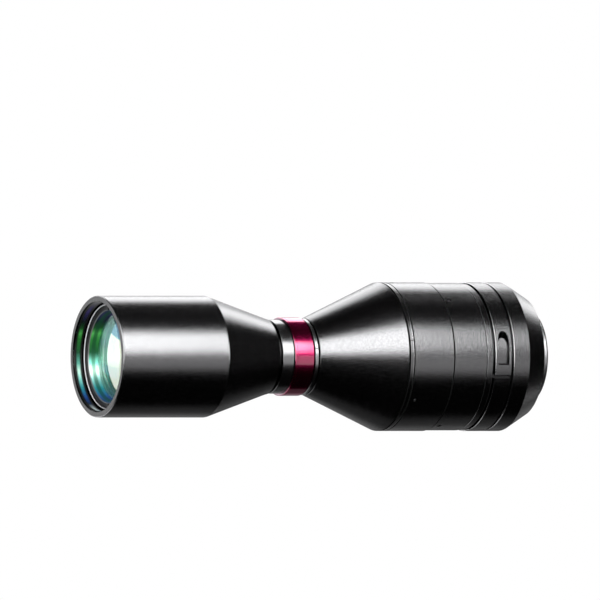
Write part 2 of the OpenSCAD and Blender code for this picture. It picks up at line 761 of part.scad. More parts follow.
front_barrel();
front_retaining_ring();
front_lens();
front_spacer_ring();
front_doublet_crown();
front_doublet_flint();
front_cone();
neck_tube();
aperture_stop();
stop_retaining_ring();
accent_ring();
neck_lock_ring();
rear_cone();
cone_lock_ring();
group_barrel();
group_barrel_screws();
rear_doublet_flint();
rear_doublet_crown();
rear_spacer_ring();
rear_lens();
rear_retaining_ring();
rear_barrel();
rear_barrel_screws();
stop_ring();
split_band();
adapter_lock_screws();
camera_adapter();
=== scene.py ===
# %% [markdown]
# # A bi-telecentric lens
#
# This script dresses a finished CAD model of a machine-vision lens. The metal
# barrels, the rings and the glass come from the CAD file and stay where they are.
# Blender adds their finishes, the turns of the two threads, and a small photo
# studio. The optical axis lies along X, the front glass looks towards -X, the
# camera end is at +X, and +Z is up.

import math

import bpy
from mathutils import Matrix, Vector


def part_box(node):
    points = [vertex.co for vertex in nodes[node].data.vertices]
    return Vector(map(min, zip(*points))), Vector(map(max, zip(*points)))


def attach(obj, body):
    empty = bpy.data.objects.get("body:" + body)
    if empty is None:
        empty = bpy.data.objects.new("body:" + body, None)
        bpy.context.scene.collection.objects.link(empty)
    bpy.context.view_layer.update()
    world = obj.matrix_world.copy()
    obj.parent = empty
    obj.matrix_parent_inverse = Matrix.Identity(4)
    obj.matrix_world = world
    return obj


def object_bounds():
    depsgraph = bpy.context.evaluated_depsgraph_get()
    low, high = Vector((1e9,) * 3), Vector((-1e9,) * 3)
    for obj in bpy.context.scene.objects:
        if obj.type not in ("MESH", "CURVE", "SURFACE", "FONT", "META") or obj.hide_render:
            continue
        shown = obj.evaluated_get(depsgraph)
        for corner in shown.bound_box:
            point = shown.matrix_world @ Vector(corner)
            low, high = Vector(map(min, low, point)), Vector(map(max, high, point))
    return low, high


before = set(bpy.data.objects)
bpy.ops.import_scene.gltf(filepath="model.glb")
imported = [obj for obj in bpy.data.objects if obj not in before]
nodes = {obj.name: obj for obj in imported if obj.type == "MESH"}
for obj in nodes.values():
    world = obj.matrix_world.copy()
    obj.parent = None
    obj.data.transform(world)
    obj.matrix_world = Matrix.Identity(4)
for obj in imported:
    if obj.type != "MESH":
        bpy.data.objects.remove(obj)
cad_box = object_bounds()
print("CAD box:", cad_box)
print("CAD nodes:", len(nodes))

# %% [markdown]
# ## Places on the lens
#
# A finish often follows a place, such as the bright edge of a step or the inside of a
# bore. The joints between the pieces are read from the CAD boxes, so that they stay
# true if a barrel changes its length. Sizes inside a piece don't show in its box, so
# those are written down as the CAD source has them.

# %% Measure the places that the finishes need
MM = 0.001

filter_thread_r = 43.0 * MM
filter_thread_depth = 8.5 * MM
cell_r = 40.4 * MM
camera_thread_r = 36.0 * MM

rim_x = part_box("front_barrel")[0][0]
step_x = rim_x + filter_thread_depth
lock_front, lock_rear = (corner[0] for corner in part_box("cone_lock_ring"))
rear_barrel_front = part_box("rear_barrel")[0][0]
stop_front, stop_rear = (corner[0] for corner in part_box("stop_ring"))
band_front, band_rear = (corner[0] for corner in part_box("split_band"))
body_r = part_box("group_barrel")[1][2]
middle_x = (cad_box[0][0] + cad_box[1][0]) / 2

print("front rim at x =", round(rim_x, 4), "widest radius", round(body_r, 4))
print("band from", round(band_front, 4), "to", round(band_rear, 4))

# %% [markdown]
# ## Shader maths as plain expressions
#
# A finish needs some maths, such as "one minus this mask". Wiring Math nodes by hand
# is slow to read, so a small class wraps a node's output socket. Adding or
# multiplying two wrapped sockets adds the Math node and links it. The reflected
# forms (`__radd__` and its kin) make `1 - mask` work as well as `mask - 1`.


# %% A value in a shader
class Value:
    def __init__(self, graph, socket):
        self.graph = graph
        self.socket = socket

    def maths(self, operation, *numbers):
        settings = {"operation": operation}
        return self.graph.node("ShaderNodeMath", settings, dict(enumerate(numbers)))

    def __add__(self, other):
        return self.maths("ADD", self, other)

    def __radd__(self, other):
        return self.maths("ADD", other, self)

    def __sub__(self, other):
        return self.maths("SUBTRACT", self, other)

    def __rsub__(self, other):
        return self.maths("SUBTRACT", other, self)

    def __mul__(self, other):
        return self.maths("MULTIPLY", self, other)

    def __rmul__(self, other):
        return self.maths("MULTIPLY", other, self)

    def __truediv__(self, other):
        return self.maths("DIVIDE", self, other)

    def root(self):
        return self.maths("SQRT", self)

    def larger(self, other):
        return self.maths("MAXIMUM", self, other)

    def smaller(self, other):
        return self.maths("MINIMUM", self, other)

    def ramp(self, low, high):
        """0 below low and 1 above high, with a smooth step between them."""
        settings = {"interpolation_type": "SMOOTHSTEP"}
        values = {"Value": self, "From Min": low, "From Max": high}
        return self.graph.node("ShaderNodeMapRange", settings, values)

    def band(self, low, high, soft):
        """1 between low and high, and 0 outside. Each edge is soft for this far both ways."""
        rise = self.ramp(low - soft, low + soft)
        return rise * (1 - self.ramp(high - soft, high + soft))

    def colours(self, stops):
        """Turns the value into a colour, by stops that are each a position and a colour."""
        return self.graph.node("ShaderNodeValToRGB", {"stops": stops}, {"Fac": self})


# %% [markdown]
# ## One method makes every node
#
# A node tree is a graph. Its one method `node` takes the node's type, its settings,
# and the values or links of its sockets, and it gives back the output as a value
# that can be added and multiplied. The world at the end uses the same method. The
# Mix node keeps sockets for every kind of data under the same names, so its two
# colour inputs and its colour output are picked by number.

# %% A graph of nodes
MIX_COLOUR_A, MIX_COLOUR_B, MIX_COLOUR_OUT = 6, 7, 2


class Graph:
    def __init__(self, tree):
        self.tree = tree

    def node(self, kind, settings, values, output=0):
        made = self.tree.nodes.new(kind)
        for name, value in settings.items():
            if name == "stops":
                set_stops(made.color_ramp, value)
            else:
                setattr(made, name, value)
        for socket, value in values.items():
            self.feed(made.inputs[socket], value)
        return Value(self, made.outputs[output])

    def feed(self, socket, value):
        if isinstance(value, Value):
            self.tree.links.new(value.socket, socket)
        else:
            socket.default_value = value

    def mixed(self, mask, colour_a, colour_b):
        """colour_a where the mask is 0 and colour_b where it is 1."""
        values = {"Factor": mask, MIX_COLOUR_A: colour_a, MIX_COLOUR_B: colour_b}
        return self.node("ShaderNodeMix", {"data_type": "RGBA"}, values, MIX_COLOUR_OUT)


def set_stops(ramp, stops):
    while len(ramp.elements) < len(stops):
        ramp.elements.new(1)
    for element, (position, colour) in zip(ramp.elements, stops):
        element.position = position
        element.color = colour


def rgb(red, green, blue):
    return (red, green, blue, 1.0)


def grey(level):
    """A neutral metal grey, a trace cooler than plain grey."""
    return (level, level, level * 1.02, 1.0)


# %% [markdown]
# ## Where a point of the surface lies
#
# Almost everything on this lens was made on a lathe, so a mark on it is easiest to
# place by its distance along the optical axis, its distance from that axis, and its
# angle round it. Object coordinates give all three, because each piece of the CAD
# model keeps its origin on the axis. Angles start at the front (-Y) and go up over
# the top. The same coordinates feed the noise, so the grain stays fixed to the metal.


# %% Places and noise on a surface
class PlacedGraph(Graph):
    def __init__(self, tree):
        super().__init__(tree)
        self.place = self.node("ShaderNodeTexCoord", {}, {}, "Object")

    def noise(self, scale, stretch=None):
        vector = self.place
        if stretch:
            values = {"Vector": self.place, "Scale": stretch}
            vector = self.node("ShaderNodeMapping", {}, values)
        values = {"Vector": vector, "Scale": scale, "Detail": 2}
        return self.node("ShaderNodeTexNoise", {}, values)

    def along(self, axis):
        return self.node("ShaderNodeSeparateXYZ", {}, {"Vector": self.place}, axis)

    def across(self, angle):
        """Distance from the half plane that leaves the optical axis at this angle."""
        turn = math.radians(angle)
        return self.along("Y") * math.sin(turn) + self.along("Z") * math.cos(turn)

    def outward(self, angle):
        """1 on the side to which that half plane points, and 0 behind the axis."""
        turn = math.radians(angle)
        ahead = self.along("Z") * math.sin(turn) - self.along("Y") * math.cos(turn)
        return ahead.ramp(0, 1 * MM)

    def radius(self):
        """Distance from the optical axis."""
        y, z = self.along("Y"), self.along("Z")
        return (y * y + z * z).root()

    def height(self, circle_r):
        """0 at the bottom of a circle round the optical axis, and 1 at its top."""
        return self.along("Z") / (circle_r * 2) + 0.5


# %% [markdown]
# ## One finish, one material
#
# A finish holds a colour, a roughness and a relief, and each piece adds to them: a
# bare edge is painted over the black, a bore loses the grain. Only when the finish is
# given to its pieces are the three linked to the Principled shader. What is the same
# all over the surface is set on the shader's own sockets instead.


# %% A finish
class Finish(PlacedGraph):
    def __init__(self, name, **constants):
        self.material = bpy.data.materials.new(name)
        self.material.use_nodes = True
        super().__init__(self.material.node_tree)
        self.shader = self.tree.nodes["Principled BSDF"]
        for socket, value in constants.items():
            self.shader.inputs[socket.replace("_", " ")].default_value = value
        self.surface = Value(self, self.shader.outputs[0])
        self.relief = None
        self.relief_depth = 0.0
        self.metal = None

    def paint(self, mask, colour):
        """Lays a colour over the finish where the mask is 1."""
        self.colour = self.mixed(mask, self.colour, colour)

    def lay_shader(self, mask, **values):
        """Lays a second shader over the finish where the mask is 1."""
        sockets = {name.replace("_", " "): value for name, value in values.items()}
        upper = self.node("ShaderNodeBsdfPrincipled", {}, sockets)
        values = {0: mask, 1: self.surface, 2: upper}
        self.surface = self.node("ShaderNodeMixShader", {}, values)

    def done(self):
        self.feed(self.shader.inputs["Base Color"], self.colour)
        self.feed(self.shader.inputs["Roughness"], self.roughness)
        if self.metal:
            self.feed(self.shader.inputs["Metallic"], self.metal)
        if self.relief:
            values = {"Height": self.relief, "Distance": self.relief_depth, "Strength": 1.0}
            self.feed(self.shader.inputs["Normal"], self.node("ShaderNodeBump", {}, values))
        self.feed(self.tree.nodes["Material Output"].inputs["Surface"], self.surface)
        return self.material

    def give_to(self, *names):
        material = self.done()
        for name in names:
            for slot in nodes[name].material_slots:
                slot.material = material
        print(material.name, "is on", len(names), "nodes")


# %% [markdown]
# ## Bead-blasted black anodising
#
# The barrels are turned from aluminium, blasted with fine beads and dyed black. The
# blasting leaves shallow round dimples, a little under a millimetre across. A Voronoi
# texture gives the distance to the nearest of many scattered points, and its square
# is the shape of such a dimple. The dimples spread each reflection into a soft band.
# The dyed oxide still reflects like a dark metal, so the finish is metallic with a
# dark colour. A fine grain and a broad cloud also go into the colour and the
# roughness, because no dye bath is quite even.

# %% The blasted black of the barrels
BARREL_SHADE = 0.14
GRAIN_SCALE, DIMPLE_SCALE, CLOUD_SCALE = 800, 1500, 14
DIMPLE_DEPTH = 0.05 * MM


def blasted_black(name, shade=BARREL_SHADE):
    finish = Finish(name, Metallic=1.0)
    grain = finish.noise(GRAIN_SCALE).ramp(0.36, 0.64)
    cloud = finish.noise(CLOUD_SCALE)
    values = {"Vector": finish.place, "Scale": DIMPLE_SCALE}
    dimple = finish.node("ShaderNodeTexVoronoi", {}, values)
    mottle = grain * 0.75 + cloud * 0.25
    finish.colour = finish.mixed(mottle, grey(shade * 0.87), grey(shade * 1.10))
    finish.roughness = 0.215 + 0.06 * (grain - 0.5) + 0.04 * (cloud - 0.5)
    finish.relief = dimple * dimple
    finish.relief_depth = DIMPLE_DEPTH
    return finish


# %% [markdown]
# ## The front cone
#
# The cone ends in a short collar whose rear face looks into the groove beside the neck. Little
# light gets in there, so the collar is painted darker, as painted shade.
# The band that paints it has its far end at 1 m, well past the cone.

# %% The front cone's finish
COLLAR_WIDTH = 1.2 * MM
PAST_THE_LENS = 1.0

front_cone = blasted_black("front_cone_black_anodised")
collar_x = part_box("front_cone")[1][0] - COLLAR_WIDTH
collar = front_cone.along("X").band(collar_x, PAST_THE_LENS, 0.1 * MM)
# The collar is painted near black as painted shade.
front_cone.paint(collar, grey(0.015))
front_cone.give_to("front_cone")

# %% [markdown]
# ## Joints, marks and screw holes
#
# Where two pieces meet, their chamfers make a narrow V. No light gets to its bottom, so it
# shows as a dark line of painted shade, and the edge beside it is often worn bright. Both are
# bands along the axis. The dark line is also rough, because even a dark metal turns bright
# where it is smooth and seen at a flat angle. A witness line is a thin dark line, scribed
# along the axis so that a fitter sees whether a ring has moved, and each screw hole gets a
# dark rim of painted shade, where the gap round the screw lies in shadow. These follow the
# distance from a half plane that leaves the axis at the right angle.

# %% Lines on the black
JOINT_DARK = grey(0.012)
WORN_BRIGHT = grey(0.34)
LINE_SOFT = 0.06 * MM
MARK_HALF_WIDTH = 0.35 * MM
SCREW_HOLE_R, SCREW_RIM_R = 1.3 * MM, 2.2 * MM


def dark_groove(finish, low, high):
    line = finish.along("X").band(low, high, LINE_SOFT)
    finish.paint(line, JOINT_DARK)
    finish.roughness = finish.roughness + 0.7 * line


def worn_line(finish, low, high):
    finish.paint(finish.along("X").band(low, high, LINE_SOFT), WORN_BRIGHT)


def witness_line(finish, angle, low, high):
    beside = finish.across(angle).band(-MARK_HALF_WIDTH, MARK_HALF_WIDTH, 0.08 * MM)
    mark = beside * finish.outward(angle) * finish.along("X").band(low, high, 0.1 * MM)
    finish.paint(mark, JOINT_DARK)


def screw_hole_shade(finish, x, first_angle):
    """The painted shade round three holes, a third of a turn apart."""
    for angle in (first_angle, first_angle + 120, first_angle + 240):
        beside, across = finish.along("X") - x, finish.across(angle)
        distance = (beside * beside + across * across).root()
        rim = distance.band(SCREW_HOLE_R, SCREW_RIM_R, 0.1 * MM)
        # Each rim is painted dark, as painted shade in the gap round the screw.
        finish.paint(rim * finish.outward(angle), JOINT_DARK)


# %% [markdown]
# ## The rear cone
#
# The rear cone faces the light more squarely than the barrels do, so its black is painted a
# little darker, as painted shade that tones down its reflection. Its wide end meets the lock
# ring in the first of the dark joints.

# %% The rear cone's finish
REAR_CONE_PAINTED_SHADE = 0.118

# The rear cone's black is painted darker, as painted shade.
rear_cone = blasted_black("rear_cone_shaded_black_anodised", REAR_CONE_PAINTED_SHADE)
dark_groove(rear_cone, lock_front - 0.55 * MM, lock_front + 1 * MM)
rear_cone.give_to("rear_cone")

# %% [markdown]
# ## The rear barrels
#
# The lock ring, the group barrel, the rear barrel and the stop ring share one
# material, because one set of lines along the axis serves them all. Each row of the
# list names a line, the edge that it follows, and where it starts and ends beside
# that edge, in millimetres.

# %% The finish of the rear barrels
GROUP_SCREWS_X, GROUP_SCREWS_ANGLE = -112.7 * MM, -35.5
REAR_SCREWS_X, REAR_SCREWS_ANGLE = -78.2 * MM, 50
LOCK_MARK_ANGLE, STOP_MARK_ANGLE = 12.6, 37


def barrel_black():
    finish = blasted_black("barrel_black_anodised")
    lines = [(dark_groove, lock_front, -1, 0.35),
             (worn_line, lock_rear, -0.75, -0.4),
             (dark_groove, lock_rear, -0.35, 0.75),
             (dark_groove, rear_barrel_front, -0.25, 1),
             (dark_groove, stop_front, -0.5, 0.2),
             (worn_line, stop_front, 0.25, 0.6),
             (dark_groove, stop_rear, -0.6, 1)]
    for line, edge, start, end in lines:
        line(finish, edge + start * MM, edge + end * MM)
    witness_line(finish, LOCK_MARK_ANGLE, lock_front, lock_rear)
    witness_line(finish, STOP_MARK_ANGLE, stop_front, stop_rear)
    screw_hole_shade(finish, GROUP_SCREWS_X, GROUP_SCREWS_ANGLE)
    screw_hole_shade(finish, REAR_SCREWS_X, REAR_SCREWS_ANGLE)
    return finish


barrel_black().give_to("cone_lock_ring", "group_barrel", "rear_barrel", "stop_ring")

# %% [markdown]
# ## The split band
#
# The band has the same blasted black. The walls of its slit and of its key pocket were cut
# later, and they are painted nearly black as painted shade. They lie below the band's outer
# surface, so the distance from the axis tells them apart. A dark line of painted shade also
# runs on the surface beside the slit and under the seat of the pocket, and the edge of the
# pocket nearest the camera end is worn bright. All three follow the distance from the slit's
# middle plane, which leans 16 degrees below the horizon.

# %% The split band's finish
SLIT_ANGLE = -16
SLIT_SHADE_HALF_WIDTH = 1.75 * MM
POCKET_SEAT, POCKET_END = 10.6 * MM, 20 * MM
POCKET_HALF_WIDTH = 4.9 * MM


def band_black():
    finish = blasted_black("band_black_anodised")
    worn_line(finish, band_front - 0.2 * MM, band_front + 0.38 * MM)
    x = finish.along("X") - (band_front + band_rear) / 2
    across, facing = finish.across(SLIT_ANGLE), finish.outward(SLIT_ANGLE)
    # The slit's edges and a line under the pocket's seat are painted dark, as painted shade.
    slit = across.band(-SLIT_SHADE_HALF_WIDTH, SLIT_SHADE_HALF_WIDTH, 0.12 * MM)
    seat_half = POCKET_HALF_WIDTH - 0.3 * MM
    seat = across.band(POCKET_SEAT - 1 * MM, POCKET_SEAT, 0.12 * MM)
    seat = seat * x.band(-seat_half, seat_half, 0.15 * MM)
    finish.paint(slit.larger(seat) * facing, JOINT_DARK)
    lip = x.band(POCKET_HALF_WIDTH + 0.05 * MM, POCKET_HALF_WIDTH + 0.5 * MM, 0.08 * MM)
    lip = lip * across.band(POCKET_SEAT, POCKET_END, 0.5 * MM)
    finish.paint(lip * facing, grey(0.38))
    # The walls below the outer surface are painted nearly black, as painted shade.
    finish.paint(1 - finish.radius().ramp(body_r - 0.8 * MM, body_r - 0.6 * MM), JOINT_DARK)
    return finish


band_black().give_to("split_band")

# %% [markdown]
# ## The camera adapter
#
# The same blasted black, with a worn, brighter line on the front edge of its ring,
# where hands turn it against the band. The groove before that edge lies deeper than
# the ring, so the radius keeps the line off it.

# %% The adapter's finish
GROOVE_WIDTH = 1.9 * MM


def adapter_black():
    finish = blasted_black("adapter_black_anodised")
    edge = band_rear + GROOVE_WIDTH
    line = finish.along("X").band(edge - 0.2 * MM, edge + 0.38 * MM, 0.05 * MM)
    on_ring = finish.radius().ramp(body_r - 0.6 * MM, body_r - 0.4 * MM)
    finish.paint(line * on_ring, WORN_BRIGHT)
    return finish


adapter_black().give_to("camera_adapter")

# %% [markdown]
# ## The front barrel
#
# Outside it is blasted black. Its flat rim is dark. Inside the filter thread, the step and the
# wall below it are painted nearly black as painted shade, and the chamfer round the mouth
# catches a thin line of light. The short bare wall of the lens cell, just behind that step,
# shows as a white ring. Distances from the axis and along it give each zone.


# %% The front barrel's finish
def front_barrel_black():
    finish = blasted_black("front_barrel_black_anodised")
    x, radius = finish.along("X"), finish.radius()
    rim = x.band(rim_x - 0.1 * MM, rim_x + 0.15 * MM, 0.05 * MM)
    chamfer = x.band(rim_x + 0.2 * MM, rim_x + 0.55 * MM, 0.06 * MM)
    inside = 1 - radius.ramp(filter_thread_r + 0.4 * MM, filter_thread_r + 0.6 * MM)
    cell = 1 - radius.ramp(cell_r + 0.3 * MM, cell_r + 0.45 * MM)
    cell_edge = cell * x.band(step_x - 0.2 * MM, step_x + 0.75 * MM, 0.1 * MM)
    finish.paint(rim, grey(0.024))
    finish.paint(chamfer, grey(0.30))
    # Inside the filter thread the metal is painted nearly black, as painted shade.
    finish.paint(inside, grey(0.015))
    finish.paint(cell_edge, grey(0.9))
    finish.metal = 1 - 0.75 * cell
    finish.roughness = finish.roughness + 0.25 * cell
    finish.relief = finish.relief * (1 - inside)
    return finish


front_barrel_black().give_to("front_barrel")

# %% [markdown]
# ## Turned rings
#
# The neck tube and its lock ring are turned rather than blasted. Turning leaves fine
# rings round the axis. A noise that is stretched across the axis and tight along it
# gives those rings. A lathe leaves them very even, so they stay faint.

# %% Turned aluminium
RING_SCALE, RING_STRETCH = 900, (1.0, 0.01, 0.01)
RING_DEPTH = 0.004 * MM


def turned(name, dark, light, roughness, metallic=1.0, **constants):
    finish = Finish(name, Metallic=metallic, **constants)
    rings = finish.noise(RING_SCALE, RING_STRETCH)
    cloud = finish.noise(22)
    finish.colour = finish.mixed(rings * 0.5 + cloud * 0.5, dark, light)
    finish.roughness = roughness + 0.05 * (rings - 0.5) + 0.03 * (cloud - 0.5)
    finish.relief = rings
    finish.relief_depth = RING_DEPTH
    return finish


def turned_dark(name, shade, roughness, piece, mark_angle=None):
    """Dark grey, with the grooves below the piece's outer surface painted nearly black as
    painted shade.
    """
    finish = turned(name, grey(shade * 0.93), grey(shade * 1.07), roughness)
    (front, _, _), (rear, _, outer_r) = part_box(piece)
    if mark_angle:
        witness_line(finish, mark_angle, front, rear)
    on_surface = finish.radius().ramp(outer_r - 0.3 * MM, outer_r - 0.1 * MM)
    # The grooves are painted nearly black, as painted shade.
    finish.paint(1 - on_surface, JOINT_DARK)
    finish.give_to(piece)


turned_dark("neck_satin", 0.22, 0.235, "neck_tube")
turned_dark("neck_lock_satin", 0.30, 0.24, "neck_lock_ring", mark_angle=12)

# %% [markdown]
# ## The front retaining ring
#
# This ring holds the front lens. Its turned walls mirror the coated glass behind them, and
# that reflection, with the window light on it, is painted into their colour by height: green
# beside the middle, white where the window light falls, blue towards the bottom and nearly
# black at the top. Being painted, these colours stay put from every side. The ring's flat face
# is dark, a thin bare line marks where the face turns into the taper, and a dark green band
# below the taper is painted shadow. It is cut with a coarser tool, so its own rings are
# deeper.


# %% The painted reflection in the mouth, and the ring that shows it
def painted_mouth_reflection(finish):
    return finish.height(filter_thread_r).colours([
        (0.03, rgb(0.60, 0.70, 0.70)), (0.07, rgb(0.01, 0.03, 0.08)),
        (0.14, rgb(0.04, 0.15, 0.55)), (0.22, rgb(0.04, 0.45, 0.50)),
        (0.30, rgb(0.35, 0.80, 0.72)), (0.37, rgb(0.72, 0.98, 0.86)),
        (0.44, rgb(0.14, 0.50, 0.40)), (0.54, rgb(0.01, 0.12, 0.04)),
        (0.66, rgb(0.05, 0.38, 0.07)), (0.71, rgb(0.14, 0.75, 0.16)),
        (0.76, rgb(0.02, 0.14, 0.03)), (0.82, rgb(0.01, 0.02, 0.03)),
        (0.90, rgb(0.04, 0.03, 0.16)), (0.97, rgb(0.02, 0.02, 0.03))])


def mouth_ring():
    finish = turned("mouth_ring_satin", grey(0.2), grey(0.3), 0.36, metallic=0.55)
    radius, taper_r = finish.radius(), cell_r - 4.0 * MM
    face = radius.ramp(taper_r + 0.1 * MM, taper_r + 0.3 * MM)
    edge = radius.band(taper_r - 0.35 * MM, taper_r + 0.1 * MM, 0.1 * MM)
    shadow = 0.7 * radius.band(taper_r - 2.3 * MM, taper_r - 1.1 * MM, 0.3 * MM)
    # The walls' colour is a painted reflection of the coated glass, with a painted patch of
    # window light.
    finish.colour = painted_mouth_reflection(finish)
    finish.paint(face, grey(0.02))
    finish.paint(edge, grey(0.22))
    # A dark green band below the taper is painted shadow.
    finish.paint(shadow, rgb(0.01, 0.10, 0.04))
    finish.relief_depth = 0.02 * MM
    return finish


mouth_ring().give_to("front_retaining_ring")

# %% [markdown]
# ## The magenta ring
#
# This ring is dyed magenta under a clear oxide skin. The dye colours what the metal reflects,
# and the skin adds a thin white gleam where the light is strongest, as a coat of lacquer
# would. Its front face lies in the groove beside the neck and is painted nearly black as
# painted shade.

# %% The magenta finish
MAGENTA_DARK, MAGENTA_LIGHT = rgb(0.31, 0.008, 0.066), rgb(0.38, 0.012, 0.088)


def magenta_anodising():
    finish = turned("magenta_anodised", MAGENTA_DARK, MAGENTA_LIGHT, 0.24,
                    Specular_Tint=rgb(0.92, 0.45, 0.66), Coat_Weight=1.0,
                    Coat_Roughness=0.09, Coat_IOR=1.75)
    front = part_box("accent_ring")[0][0]
    behind_face = finish.along("X").ramp(front + 0.02 * MM, front + 0.12 * MM)
    # The front face is painted nearly black, as painted shade.
    finish.paint(1 - behind_face, rgb(0.02, 0.008, 0.01))
    return finish


magenta_anodising().give_to("accent_ring")

# %% [markdown]
# ## Matt black inside
#
# The stop, its ring and the rear rings hold the optics. They are dyed a matt black
# that swallows stray light, with only a faint sheen on their edges.


# %% The inner black
def inner_black():
    finish = Finish("inner_matt_black", Metallic=0.3)
    grain = finish.noise(1100)
    finish.colour = finish.mixed(grain, grey(0.016), grey(0.034))
    finish.roughness = 0.55 + 0.12 * (grain - 0.5)
    finish.relief = grain
    finish.relief_depth = 0.02 * MM
    return finish


inner_black().give_to("aperture_stop", "stop_retaining_ring",
                      "rear_spacer_ring", "rear_retaining_ring")

# %% [markdown]
# ## The grub screws
#
# Small socket screws lock each barrel. Their steel is only blackened, so it is
# lighter than the anodised barrels and shows as a small bright dot.


# %% Blackened steel
def screw_steel():
    finish = Finish("blackened_screw_steel", Metallic=1.0)
    grain = finish.noise(2500)
    finish.colour = finish.mixed(grain, grey(0.34), grey(0.50))
    finish.roughness = 0.28 + 0.1 * (grain - 0.5)
    return finish


screw_steel().give_to("group_barrel_screws", "rear_barrel_screws", "adapter_lock_screws")

# %% [markdown]
# ## Coated glass
#
# Each lens is clear glass with a thin film on it that cuts reflections. What is
# left of a reflection is coloured: mostly green on this lens, with blue where the
# film is met at a flatter angle. The Principled shader has a thin film of its own,
# with a thickness in nanometres, so these colours come from the same physics as on
# the real lens. A green tint in the glass makes up for the green that the film turns
# back. The ground rim of each glass is painted black to stop stray light.


# %% Lens glass
def coated_glass(name, film_nm, film_ior, tint):
    finish = Finish(name, IOR=1.55, Transmission_Weight=1.0,
                    Thin_Film_Thickness=film_nm, Thin_Film_IOR=film_ior)
    haze = finish.noise(60)
    paler = rgb(*[0.15 + 0.85 * channel for channel in tint[:3]])
    finish.colour = finish.mixed(haze, tint, paler)
    finish.roughness = 0.004 + 0.008 * haze
    return finish


def with_black_rim(finish, piece):
    rim_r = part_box(piece)[1][2]
    rim = finish.radius().ramp(rim_r - 0.12 * MM, rim_r - 0.08 * MM)
    finish.lay_shader(rim, Base_Color=grey(0.01), Roughness=0.5)
    finish.give_to(piece)


front_glass = coated_glass("front_lens_glass", 72, 2.3, rgb(0.60, 1.0, 0.80))
with_black_rim(front_glass, "front_lens")
flint_glass = coated_glass("front_flint_glass", 160, 2.1, rgb(0.55, 1.0, 0.80))
with_black_rim(flint_glass, "front_doublet_flint")
for piece in ("rear_doublet_flint", "rear_doublet_crown", "rear_lens"):
    rear_glass = coated_glass(piece + "_glass", 198, 2.2, rgb(0.80, 1.0, 0.90))
    with_black_rim(rear_glass, piece)

# %% [markdown]
# ## The painted gleam behind the front lens
#
# The strongest gleam in the mouth comes from just behind the front lens: white low down, mint
# in the middle, and blue to cyan above. It is a painted reflection, laid on the doublet's face
# and on the bore of the spacer ring beside it, with its colours by height. On the doublet it
# is a thin mirror skin, and a Mix Shader keeps part of the clear glass under it, so the face
# still has depth. On the spacer it is painted into the colour, half mixed with a pale pink.


# %% The painted gleam on the crown and on the spacer
def painted_gleam_colours(finish):
    return finish.height(cell_r).colours([
        (0.06, rgb(0.08, 0.30, 0.85)), (0.15, rgb(0.75, 0.95, 1.00)),
        (0.26, rgb(1.00, 1.00, 1.00)), (0.42, rgb(0.85, 1.00, 0.90)),
        (0.54, rgb(0.45, 0.85, 0.60)), (0.62, rgb(0.10, 0.45, 0.85)),
        (0.72, rgb(0.12, 0.70, 0.90)), (0.80, rgb(0.04, 0.22, 0.20)),
        (0.92, rgb(0.02, 0.08, 0.06))])


def crown_glass():
    finish = coated_glass("front_crown_glass", 176, 2.0, rgb(0.50, 1.0, 0.82))
    skin = 0.55 + 0.2 * finish.noise(60)
    # The skin's colours are a painted reflection, by height.
    finish.lay_shader(skin, Base_Color=painted_gleam_colours(finish), Metallic=1.0, Roughness=0.18)
    return finish


spacer = turned("front_spacer_painted_gleam", grey(0.5), grey(0.6), 0.42, metallic=0.15)
# The spacer's colour is a painted reflection of the gleam, half mixed with a pale pink.
spacer.colour = spacer.mixed(0.5, painted_gleam_colours(spacer), rgb(1.0, 0.85, 0.92))
spacer.give_to("front_spacer_ring")
with_black_rim(crown_glass(), "front_doublet_crown")

# %% [markdown]
# ## The section of a thread
#
# The mouth has a fine female thread for a filter, and the boss a male one for the
# camera. The CAD model holds only their cylinders, so the turns are modelled here,
# from the section of one turn. A circle of three corners is that section, laid
# against the wall with its point towards the crest. Such a triangle is 1.5 times its
# corner radius deep, and its centre lies a third of that depth from its foot. The
# foot is sunk a little into the wall so that no gap shows. It takes most of the
# pitch, which leaves a narrow flat between the turns.

# %% Draw the section of a thread
PITCH = 0.75 * MM
FOOT_SHARE = 0.84
SUNK = 0.02 * MM


def clear_selection():
    for thing in bpy.context.selected_objects:
        thing.select_set(False)


def thread_section(name, wall_r, depth, start):
    """A negative depth points the crest at the axis, as in a female thread."""
    clear_selection()
    corner_r = PITCH * FOOT_SHARE / 2 / math.cos(math.radians(30))
    out = math.copysign(1, depth)
    middle_r = wall_r + out * (abs(depth) / 3 - SUNK)
    bpy.ops.mesh.primitive_circle_add(
        vertices=3, radius=corner_r, fill_type="NOTHING",
        location=(start, 0, middle_r), rotation=(out * math.pi / 2, 0, 0))
    section = bpy.context.object
    section.name = name
    section.scale.y = abs(depth) / (1.5 * corner_r)
    bpy.ops.object.transform_apply(location=True, rotation=True, scale=True)
    return section


# %% [markdown]
# ## The turns of a thread
#
# A Screw modifier sweeps the section round the axis and along by one pitch in each
# turn. A spin would give separate rings; a thread is one helix. The sweep can leave
# double corners where its turns meet, and it leaves two open ends, so the corners are
# merged, the ends are filled and the normals are turned outwards.

# %% Sweep the turns of a thread
STEPS_A_TURN = 96


def sweep_turns(thread, turns):
    sweep = thread.modifiers.new("turns", "SCREW")
    sweep.axis = "X"
    sweep.angle = 2 * math.pi
    sweep.screw_offset = PITCH
    sweep.iterations = turns
    sweep.steps = STEPS_A_TURN
    sweep.render_steps = STEPS_A_TURN
    sweep.use_smooth_shade = False
    bpy.ops.object.modifier_apply(modifier=sweep.name)
    bpy.ops.object.mode_set(mode="EDIT")
    bpy.ops.mesh.select_all(action="SELECT")
    bpy.ops.mesh.remove_doubles(threshold=1e-6)
    bpy.ops.mesh.fill_holes(sides=3)
    bpy.ops.mesh.normals_make_consistent(inside=False)
    bpy.ops.object.mode_set(mode="OBJECT")


